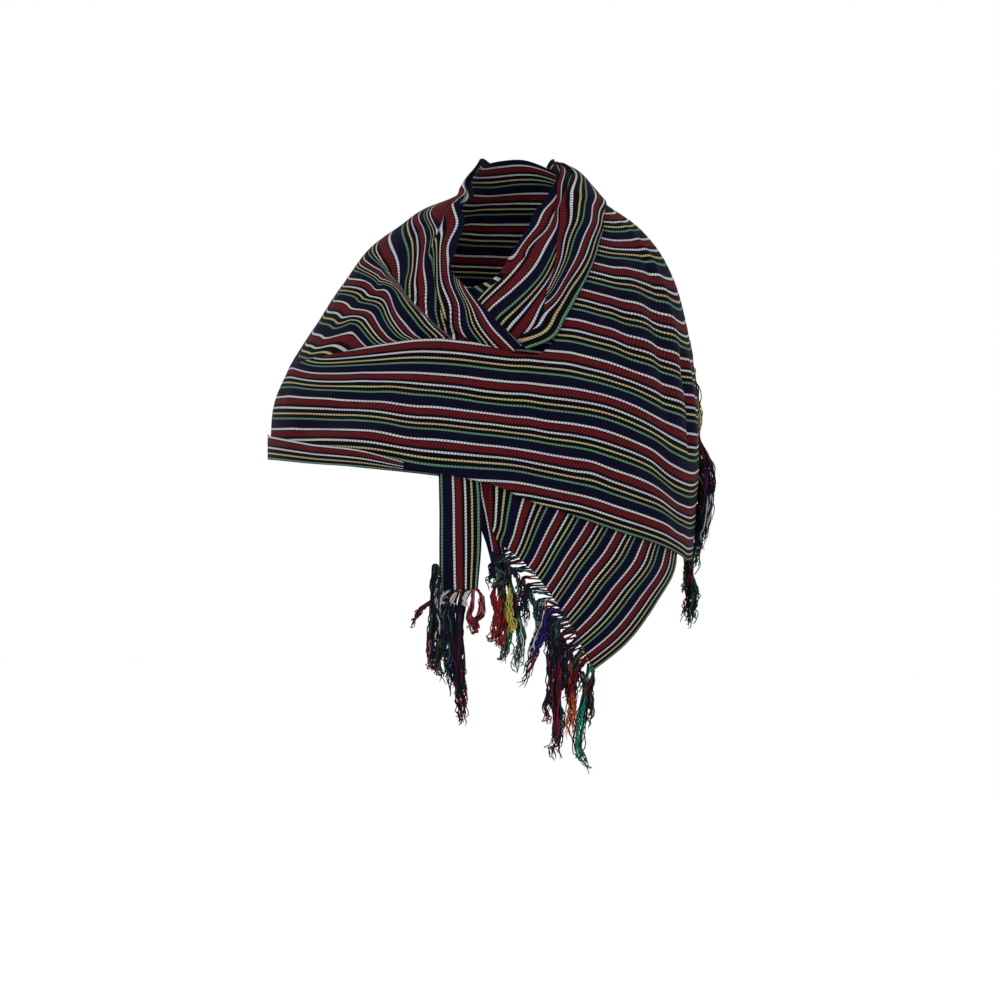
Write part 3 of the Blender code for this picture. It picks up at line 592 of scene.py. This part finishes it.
MIDDLE_ROWS = [
    [around(-44, 62, 10), around(-42, 57, 10), around(-40, 50, 10)],
    [around(-20, 69, 8.7), around(-20, 60, 8.8), around(-20, 48, 9)],
    [around(2, 66, 7.6), around(3, 58, 7.8), around(4, 44, 8)],
    [front(44, 26, 8), front(52, 22, 8), front(64, 18, 8)],
    [front(42, 0, 8), front(48, -4, 8), front(56, -8, 7)],
    [front(24, -34, 8), front(40, -40, 9), front(54, -48, 7)],
    [front(0, -64, 8), front(22, -78, 11), front(46, -92, 7)],
    [front(-28, -90, 8), front(0, -114, 12), front(32, -130, 8)],
    [front(-56, -110, 8), front(-28, -140, 11), front(16, -164, 8)],
    [front(-72, -122, 8), front(-46, -152, 9), front(-8, -182, 8)],
]
MIDDLE_STRIPES = [
    (2.3, 1.9, 1.4),
    (2.3, 1.9, 1.4),
    (2.3, 1.9, 1.4),
    (2.25, 1.9, 1.4),
    (2.22, 1.9, 1.35),
    (2.2, 1.88, 1.25),
    (2.33, 1.85, 1.0),
    (2.45, 1.68, 0.8),
    (2.6, 1.65, 0.85),
    (2.7, 1.75, 0.95),
]
collar_middle, _ = woven("cloth_collar_middle", loft(MIDDLE_ROWS, MIDDLE_STRIPES, 100, 40), 5, 0.5)
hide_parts("collar_middle")

ROLL_ROWS = [
    [around(-42, 64, 14), around(-38, 50, 15), around(-36, 32, 13)],
    [around(-20, 62, 14), around(-18, 48, 17), around(-16, 30, 14)],
    [around(4, 56, 13), around(4, 44, 17), around(4, 22, 13)],
    [front(52, 24, 13), front(74, 24, 18), front(104, 14, 12)],
    [front(48, -2, 13), front(78, 0, 20), front(106, -8, 12)],
    [front(46, -30, 11), front(77, -30, 20), front(104, -34, 11)],
    [front(44, -65, 11), front(72, -66, 20), front(95, -68, 11.5)],
    [front(33, -101, 12.5), front(58, -104, 20), front(78, -106, 11.5)],
    [front(27, -134, 13), front(44, -138, 19), front(58, -143, 12)],
    [front(14, -160, 13), front(24, -168, 17), front(35, -176, 12)],
    [front(-6, -170, 13), front(-3, -180, 14), front(4, -188, 13)],
]
ROLL_STRIPES = [
    (0.3, 0.75, 1.5),
    (0.3, 0.75, 1.5),
    (0.25, 0.65, 1.45),
    (0.2, 0.6, 1.4),
    (0.1, 0.68, 1.55),
    (0.05, 0.85, 1.7),
    (0.1, 1.08, 1.72),
    (0.2, 1.33, 1.72),
    (1.2, 1.5, 1.72),
    (1.35, 1.52, 1.72),
    (1.45, 1.55, 1.72),
]
collar_roll, _ = woven("cloth_collar_roll", loft(ROLL_ROWS, ROLL_STRIPES, 110, 44), 6, 0.5)
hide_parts("collar_roll")


# Neck band: the same edge of the cloth on the right of the neck. It lies flat over the crossing and runs down
# to the top of the wrap, held by the tuck alone.
BAND_ROWS = [
    [around(226, 70, 5.6), around(224, 62, 7), around(222, 50, 7)],
    [around(202, 77, 6), around(202, 66, 7), around(202, 46, 8)],
    [front(-57, 72, 7), front(-66, 54, 8), front(-84, 34, 9)],
    [front(-73, 28, 10), front(-84, 14, 12), front(-101, 2, 11)],
    [front(-79, -7, 10), front(-93, -18, 12), front(-112, -30, 10)],
    [front(-88, -45, 10), front(-103, -52, 12), front(-122, -62, 9)],
    [front(-97, -80, 11), front(-106, -92, 13), front(-118, -108, 9)],
    [front(-78, -104, 13), front(-92, -122, 14), front(-108, -142, 10)],
    [front(-50, -135, 14), front(-66, -150, 15), front(-86, -166, 11)],
    [front(-25, -161, 16), front(-42, -174, 15), front(-60, -184, 11)],
    [front(-2, -184, 17), front(-18, -194, 15), front(-36, -202, 11)],
]
BAND_STRIPES = [
    (0.8, 1.0, 1.3),
    (0.8, 1.0, 1.3),
    (0.8, 0.95, 1.08),
    (0.82, 1.05, 1.3),
    (0.82, 1.1, 1.38),
    (0.85, 1.04, 1.75),
    (0.85, 1.2, 1.6),
    (-0.03, 1.1, 1.55),
    (-0.2, 0.4, 1.1),
    (-0.3, 0.22, 0.8),
    (-0.34, 0.15, 0.5),
]
neck_band, _ = woven("cloth_neck_band", loft(BAND_ROWS, BAND_STRIPES, 110, 34), 7, 0.4)
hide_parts("neck_band")


# Under end: the first end of the cloth, which hangs out below the wrap in front. It is the same cotton, held by
# the wrap over it, and its stripes come down at a slant.
UNDER_ROWS = [
    [around(84, -300, 8.7), around(64, -300, 6.4), around(42, -300, 2), around(25, -300, 2)],
    [front(-46, -360, 3), front(44, -375, 4), front(130, -385, 3), around(20, -385, 3)],
    [front(-48, -395, 3), front(38, -425, 5), front(122, -462, 4), front(208, -477, 4)],
    [front(-45, -424, 3), front(28, -460, 6), front(98, -512, 5), front(180, -535, 6)],
    [front(-40, -440, 4), front(20, -478, 7), front(75, -538, 7), front(138, -592, 8)],
    [front(-34, -452, 5), front(12, -490, 8), front(58, -556, 9), front(94, -628, 10)],
]
UNDER_STRIPES = [
    (5.2, 6.4, 8.4, 10.6),
    (5.2, 6.6, 8.5, 11.0),
    (5.15, 7.0, 9.2, 11.72),
    (5.2, 7.17, 9.48, 11.72),
    (5.4, 7.2, 9.4, 11.72),
    (5.6, 7.2, 9.35, 11.72),
]
end_under, under_points = woven("cloth_end_under", loft(UNDER_ROWS, UNDER_STRIPES, 80, 100), 8, 0.8)
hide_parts("end_under")


# End folds: the rest of the same end, gathered by hand in two narrow folds of cloth beside the under end. They
# hang straight down from under the wrap, the inner one further back.
END_FOLD_ROWS = [
    [front(-118, -320, 6), front(-96, -320, 7), front(-66, -320, 6.5)],
    [front(-116, -400, 6), front(-92, -400, 8), front(-58, -400, 5)],
    [front(-115, -460, 10), front(-90, -460, 13), front(-58, -458, 10)],
    [front(-114, -516, 16), front(-88, -516, 19), front(-62, -515, 16)],
]
END_FOLD_STRIPES = [(2.6, 3.1, 3.75)] * 4
end_fold, fold_points = woven("cloth_end_fold", loft(END_FOLD_ROWS, END_FOLD_STRIPES, 60, 24), 9, 0.5)
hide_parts("end_fold")

END_FOLD_INNER_ROWS = [
    [front(-78, -330, -3), front(-56, -330, -1), front(-34, -330, 1.5)],
    [front(-66, -400, -2), front(-48, -400, 0), front(-28, -400, 0.8)],
    [front(-50, -456, -1), front(-38, -456, 2), front(-26, -456, -1)],
    [front(-38, -506, 3), front(-28, -506, 5), front(-19, -503, 3)],
]
END_FOLD_INNER_STRIPES = [(4.6, 5.15, 5.6), (4.6, 5.15, 5.6), (4.8, 5.15, 5.45), (4.93, 5.15, 5.4)]
end_fold_inner, inner_points = woven(
    "cloth_end_fold_inner", loft(END_FOLD_INNER_ROWS, END_FOLD_INNER_STRIPES, 50, 16), 10, 0.3
)
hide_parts("end_fold_inner")


# Hem strip: the lower selvedge of the wrap turned up once over itself at the right elbow. The strip of cloth
# lies flat on the wrap, unsewn, and narrows toward the middle.
HEM_ROWS = [
    [around(183, -303, 10.2), around(183, -337, 9.8)],
    [front(-326, -308, 10.5), front(-328, -338.5, 10.4)],
    [front(-284, -317, 11.4), front(-284, -343, 11.3)],
    [front(-210, -328, 12.2), front(-210, -348, 12.1)],
    [front(-163, -341, 12.8), front(-163, -352, 12.8)],
]
HEM_STRIPES = [(10.97, 11.72)] * 5
hem_fold, _ = woven("cloth_hem_fold", loft(HEM_ROWS, HEM_STRIPES, 70, 14), 11, 0.2)
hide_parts("hem_fold")


# Fringe of the under end: the warp ends left free past the weave, knotted by hand into locks and slightly felted
# by wear. Each lock is a bunch of soft single cotton yarns in the colours of the stripes above it. At the head of
# the widest fringe thinner bunches cross from lock to lock as an open net.
YARN_COLOURS = {
    "navy": "#10123a",
    "black": "#0b0b0d",
    "red": "#6b1622",
    "scarlet": "#95241f",
    "white": "#a9a6aa",
    "pink": "#8f5a60",
    "yellow": "#a3963f",
    "green": "#2c5141",
    "blue": "#1c2372",
    "orange": "#a04a26",
    "teal": "#1d7a63",
}
# A single yarn is about 0.5 mm thick. It is drawn at three times that so that it shows, and so fewer make a lock.
YARN_RADIUS = 0.8
YARNS_IN_LOCK = 16
YARNS_IN_NET = 9
NET_RADIUS = 2.0
YARN_POINTS = 34
LEAST_POINTS = 6
TIP_WIDTH = 0.4
LEAST_SPREAD = 1.1
LOCK_WIDTH = (
    # share of the way down, width against the lock's radius, narrowest at the knot
    (0, 1.0),
    (0.12, 0.5),
    (0.2, 0.9),
    (0.5, 1.7),
    (0.85, 1.9),
    (1, 1.3),
)
LOOSE_LENGTH = 90
SECOND_START = 0.025
SECOND_SHIFT = (3.5, 1.5, 4.0)
YARN_SHEEN = 0.03
FIBRE_FUZZ = {"Scale": 900.0, "Detail": 2.0}
FUZZ_DEPTH = 0.9
FUZZ_DARKEST = 0.5


def yarn_look(name, colour):
    """Soft spun cotton yarn, dyed: fully matte, its colour mottled by the fuzz of loose fibre ends."""
    made, shader = finish("cotton_yarn_" + name, COTTON_ROUGHNESS, YARN_SHEEN)
    tree = made.node_tree
    place = add(tree, "ShaderNodeTexCoord")
    fuzz = add(tree, "ShaderNodeTexNoise", (), Vector=place.outputs["Object"], **FIBRE_FUZZ)
    shade = add(
        tree, "ShaderNodeMath", {"operation": "MULTIPLY_ADD"}, n0=fuzz.outputs["Fac"], n1=FUZZ_DEPTH, n2=FUZZ_DARKEST
    )
    mixed = add(
        tree, "ShaderNodeMix", {"data_type": "RGBA", "blend_type": "MULTIPLY"},
        n0=1.0, n6=linear(colour), n7=shade.outputs["Value"],
    )
    tree.links.new(mixed.outputs[2], shader.inputs["Base Color"])
    return made


yarn_looks = {name: yarn_look(name, colour) for name, colour in YARN_COLOURS.items()}

LOCKS = {
    "left": (
        # start along the heading, radius, colours, way down as x, height and lift
        (0.0, 2.8, "black green black",
         ((-119, -478, 21), (-122, -505, 22), (-121, -545, 21), (-124, -585, 18), (-119, -606, 16))),
        (0.02, 2.4, "black navy green black white",
         ((-113, -496, 23), (-118, -520, 24), (-114, -560, 22), (-116, -600, 18))),
        (0.04, 3.0, "red black navy pink black",
         ((-119, -540, 17), (-126, -585, 15), (-128, -620, 14), (-123, -626, 14))),
        (0.1, 1.8, "black red navy", ((-122, -532, 20), (-138, -545, 20), (-147, -563, 20), (-154, -570, 20))),
        (0.2, 3.6, "black green black red navy",
         ((-110, -545, 19), (-112, -590, 17), (-117, -622, 15), (-112, -642, 14))),
        (0.32, 4.0, "black green black navy",
         ((-103, -545, 24), (-104, -580, 23), (-106, -618, 20), (-101, -652, 17))),
        (0.46, 4.2, "navy blue black black red",
         ((-97, -550, 18), (-98, -600, 17), (-96, -640, 16), (-92, -668, 15))),
        (0.6, 4.0, "black black red navy black",
         ((-88, -548, 23), (-87, -600, 21), (-85, -650, 18), (-83, -685, 16), (-86, -706, 15))),
        (0.74, 3.2, "blue navy black black", ((-84, -545, 17), (-90, -590, 14), (-88, -630, 13), (-97, -648, 13))),
        (0.86, 2.2, "red black pink red", ((-70, -535, 20), (-74, -556, 20), (-64, -572, 20), (-72, -578, 20))),
        (0.96, 2.2, "red pink black red", ((-56, -526, 18), (-55, -548, 18), (-66, -562, 16), (-60, -574, 16))),
        (0.28, 1.6, "white white green", ((-107, -522, 21), (-110, -530, 22), (-104, -536, 22))),
        (0.52, 1.6, "white yellow", ((-93, -522, 22), (-97, -531, 23), (-90, -537, 22))),
        (0.8, 1.6, "white white", ((-77, -520, 21), (-80, -530, 22), (-72, -535, 21))),
    ),
    "middle": (
        (0.05, 3.2, "red scarlet red", ((-41, -525, 6), (-35, -548, 8), (-40, -578, 9), (-45, -586, 9))),
        (0.3, 3.2, "red scarlet black red", ((-31, -528, 8), (-28, -556, 11), (-33, -590, 11), (-31, -600, 11))),
        (0.55, 3.0, "green green black", ((-25, -530, 5), (-20, -562, 7), (-24, -602, 8), (-33, -618, 8))),
        (0.75, 2.4, "yellow yellow green", ((-18, -522, 10), (-21, -540, 14), (-17, -565, 15), (-19, -580, 15))),
        (0.95, 3.4, "green black teal black white",
         ((-12, -528, 5), (-8, -556, 6), (-2, -584, 7), (-7, -612, 8), (-5, -630, 8))),
    ),
    "right": (
        (0.56, 2.6, "black navy black", ((33, -552, 14), (31, -585, 14), (34, -618, 13))),
        (0.62, 2.6, "black green navy", ((40, -566, 15), (39, -598, 15), (37, -636, 14))),
        (0.69, 2.6, "black red black", ((49, -582, 16), (47, -614, 16), (46, -652, 15))),
        (0.77, 2.6, "navy black black", ((58, -600, 16), (56, -630, 16), (55, -668, 15))),
        (0.85, 2.4, "black green black", ((67, -616, 17), (65, -645, 17), (62, -680, 16))),
        (0.04, 1.8, "navy black black", ((-44, -468, 7), (-38, -482, 8), (-48, -500, 9), (-44, -522, 9))),
        (0.11, 1.8, "black navy green", ((-27, -476, 7), (-38, -482, 8), (-29, -498, 9), (-48, -516, 9))),
        (0.18, 1.8, "black navy red", ((-20, -482, 7), (-12, -492, 8), (-29, -498, 9), (-24, -524, 12))),
        (0.27, 1.8, "black navy green", ((-4, -490, 8), (-12, -492, 8), (-6, -512, 9), (-9, -536, 11))),
        (0.36, 2.0, "black navy black", ((4, -510, 9), (8, -522, 10), (-4, -536, 11), (-7, -556, 13))),
        (0.44, 2.0, "navy black green", ((20, -520, 10), (8, -522, 10), (20, -540, 11), (27, -546, 12))),
        (0.075, 1.6, "navy black", ((-36, -474, 8), (-46, -486, 9), (-40, -506, 9))),
        (0.145, 1.6, "black green black", ((-24, -480, 8), (-20, -494, 9), (-30, -506, 10), (-36, -530, 11))),
        (0.225, 1.6, "black navy", ((-10, -488, 8), (-20, -500, 9), (-18, -520, 10))),
        (0.31, 1.6, "navy black red", ((0, -500, 9), (2, -516, 10), (-8, -528, 11), (-12, -548, 12))),
        (0.4, 1.8, "black navy", ((10, -516, 10), (2, -530, 11), (4, -548, 12), (0, -570, 12))),
        (0.48, 1.8, "navy black green", ((22, -530, 11), (16, -546, 12), (20, -566, 12), (10, -590, 12))),
        (0.54, 1.8, "black red black", ((28, -540, 12), (34, -556, 12), (28, -580, 13))),
        (0.61, 1.8, "black navy", ((36, -556, 13), (44, -574, 13), (36, -600, 14))),
        (0.67, 1.8, "black green", ((46, -572, 14), (52, -590, 14), (48, -612, 14))),
        (0.74, 1.8, "red black", ((54, -588, 15), (60, -604, 15), (54, -626, 15))),
        (0.81, 1.8, "black navy", ((62, -604, 15), (66, -620, 15), (62, -640, 15))),
        (0.88, 1.8, "black red", ((70, -618, 15), (74, -634, 15), (70, -654, 15))),
        (0.52, 3.0, "white navy navy red navy",
         ((30, -530, 11), (24, -560, 12), (15, -592, 12), (9, -620, 12), (-10, -653, 12))),
        (0.58, 2.6, "navy blue black", ((34, -545, 12), (27, -575, 14), (20, -596, 15), (12, -606, 15))),
        (0.64, 4.2, "red black black navy",
         ((40, -570, 13), (37, -610, 14), (38, -650, 14), (31, -680, 14), (36, -702, 14))),
        (0.7, 4.2, "red black navy navy",
         ((47, -585, 17), (44, -630, 17), (43, -680, 16), (45, -722, 15), (39, -738, 15), (49, -756, 15))),
        (0.78, 2.8, "black green black white",
         ((57, -602, 15), (50, -640, 12), (45, -668, 11), (52, -700, 11), (31, -730, 12))),
        (0.85, 4.0, "orange scarlet orange black",
         ((64, -620, 15), (61, -650, 16), (64, -678, 16), (60, -702, 15), (66, -742, 15))),
        (0.9, 2.6, "red black", ((70, -628, 19), (64, -648, 20), (58, -668, 20))),
        (0.95, 3.6, "teal green black navy teal",
         ((84, -642, 14), (84, -664, 15), (77, -698, 15), (74, -735, 15), (83, -757, 15), (97, -771, 15))),
        (0.99, 2.4, "red black green black", ((92, -640, 16), (87, -656, 18), (88, -690, 18), (84, -712, 18))),
    ),
}


def point_along(points, share):
    """The point at a share of a line's length."""
    runs = np.linalg.norm(np.diff(points, axis=0), axis=1)
    at = np.concatenate([[0], np.cumsum(runs)]) / runs.sum()
    return np.array([np.interp(share, at, points[:, axis]) for axis in range(3)])


def bunch(curve, slots, edge, start, radius, way, colours, draw):
    """One lock: yarns that leave the cloth side by side, draw together in a knot and hang loose below it."""
    stops = np.vstack([point_along(edge, start), way])
    line = smooth(np.linspace(0, 1, YARN_POINTS), np.linspace(0, 1, len(stops)), stops)
    runs = np.linalg.norm(np.diff(line, axis=0), axis=1).sum()
    share = np.linspace(0, 1, YARN_POINTS)
    spread = np.interp(share, *zip(*LOCK_WIDTH)) * radius
    spread = np.maximum(spread, LEAST_SPREAD)
    for index in range(YARNS_IN_LOCK if radius > NET_RADIUS else YARNS_IN_NET):
        turn = draw.uniform(0, 2 * math.pi) + share * draw.uniform(1.5, 5.0) * draw.choice((-1, 1))
        out = spread * math.sqrt(draw.uniform(0.05, 1))
        yarn = line.copy()
        yarn[:, 0] += np.cos(turn) * out
        yarn[:, 1] += np.sin(turn) * out * 0.7
        wobble = draw.normal(0, 1, (YARN_POINTS // 2 + 1, 3))
        wobble = smooth(share, np.linspace(0, 1, len(wobble)), wobble)
        loose = min(1.0, runs / LOOSE_LENGTH) * share[:, None]
        yarn += wobble * (0.25 + 1.5 * loose)
        curl = share * draw.uniform(14, 44) + draw.uniform(0, 6)
        yarn[:, (0, 2)] += draw.uniform(0.4, 3.6) * loose * np.column_stack([np.sin(curl), np.cos(curl)])
        reach = draw.uniform(0.6, 1.0)
        count = max(LEAST_POINTS, int(YARN_POINTS * reach))
        spline = curve.splines.new("POLY")
        spline.points.add(count - 1)
        for point, place in zip(spline.points, yarn[:count]):
            point.co = (*(place * MM), 1)
        spline.points[count - 1].radius = TIP_WIDTH
        spline.material_index = slots.index(colours[index % len(colours)])


def fringe(name, edge, locks, seed):
    """All the locks of one heading as one piece of yarns, each lock with a second one close beside it."""
    draw = np.random.default_rng(seed)
    curve = bpy.data.curves.new(name + "_lines", "CURVE")
    curve.dimensions = "3D"
    curve.bevel_depth = YARN_RADIUS * MM
    curve.bevel_resolution = 0
    curve.use_fill_caps = True
    slots = sorted({colour for lock in locks for colour in lock[3]})
    for colour in slots:
        curve.materials.append(yarn_looks[colour])
    for start, radius, way, colours in locks:
        bunch(curve, slots, edge, start, radius, way, colours, draw)
        shift = draw.normal(0, 1, 3) * SECOND_SHIFT * np.linspace(0.3, 1, len(way))[:, None]
        beside = min(start + SECOND_START, 1.0)
        bunch(curve, slots, edge, beside, radius, way + shift, colours[::-1], draw)
    holder = bpy.data.objects.new(name + "_lines", curve)
    bpy.context.scene.collection.objects.link(holder)
    mesh = bpy.data.meshes.new_from_object(holder)
    bpy.data.objects.remove(holder, do_unlink=True)
    mesh.name = name
    mesh.shade_smooth()
    made = bpy.data.objects.new(name, mesh)
    bpy.context.scene.collection.objects.link(made)
    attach(made, "root")
    return made


def shown_at(places):
    """Points of angle, height and lift places, in millimetres."""
    places = np.array(places, float)
    return off_figure(places[:, 0], places[:, 1], places[:, 2])


for heading, points, seed in (("left", fold_points, 21), ("middle", inner_points, 22), ("right", under_points, 23)):
    locks = [
        (start, radius, shown_at([front(*place) for place in way]), colours.split())
        for start, radius, colours, way in LOCKS[heading]
    ]
    made = fringe("yarns_" + heading, points[-1], locks, seed)
    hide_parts("end_fringe_" + heading)


# Arm fringe: the same knotted warp ends at the outer end of the cloth. They lie down the back of the left arm,
# from the shoulder to below the hem, each lock of loose cotton yarns hanging from the end of the wrap.
ARM_LOCKS = (
    # start, angle, lift, length, radius, colours
    (0.03, -27, 13, 120, 3.4, "navy black red"),
    (0.09, -31, 16, 150, 3.6, "red white black"),
    (0.15, -25, 14, 135, 3.4, "green black yellow"),
    (0.21, -28, 18, 155, 3.8, "navy navy white"),
    (0.27, -22, 15, 140, 3.4, "red red black"),
    (0.33, -26, 19, 150, 3.8, "black green black white"),
    (0.39, -19, 17, 160, 3.6, "navy black"),
    (0.45, -24, 20, 140, 3.6, "red pink black"),
    (0.51, -17, 18, 165, 4.0, "green yellow black"),
    (0.57, -22, 20, 160, 4.0, "black red navy"),
    (0.62, -20, 19, 160, 4.0, "red black"),
    (0.67, -18, 18, 160, 4.0, "green black navy"),
    (0.72, -3, 23, 165, 4.0, "navy black red black"),
    (0.75, -10, 20, 150, 3.8, "black red black"),
    (0.78, -1, 24, 150, 3.8, "green black navy white"),
    (0.82, -6, 21, 130, 3.8, "black navy"),
    (0.86, -11, 19, 125, 3.6, "green green black"),
    (0.92, -17, 17, 115, 3.8, "yellow black green"),
    (0.97, -12, 15, 118, 3.6, "black red navy"),
    (0.995, -9, 18, 100, 3.0, "black green"),
)
outer_row = np.array(WRAP_ROWS[-1], float)
locks = []
for start, angle, lift, length, radius, colours in ARM_LOCKS:
    from_angle, z, from_lift = smooth(np.array(start), np.linspace(0, 1, len(outer_row)), outer_row)
    way = [
        (min(from_angle - 3, (from_angle + angle) / 2 - 1), z - 0.2 * length, (from_lift + lift) / 2 + 2),
        (angle, z - 0.5 * length, lift + 2),
        (angle + 2, z - 0.78 * length, lift),
        (angle - 1, z - length, lift + 1),
    ]
    locks.append((start, radius, shown_at(way), colours.split()))
made = fringe("yarns_arm", wrap_points[-1], locks, 24)
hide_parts("arm_fringe")
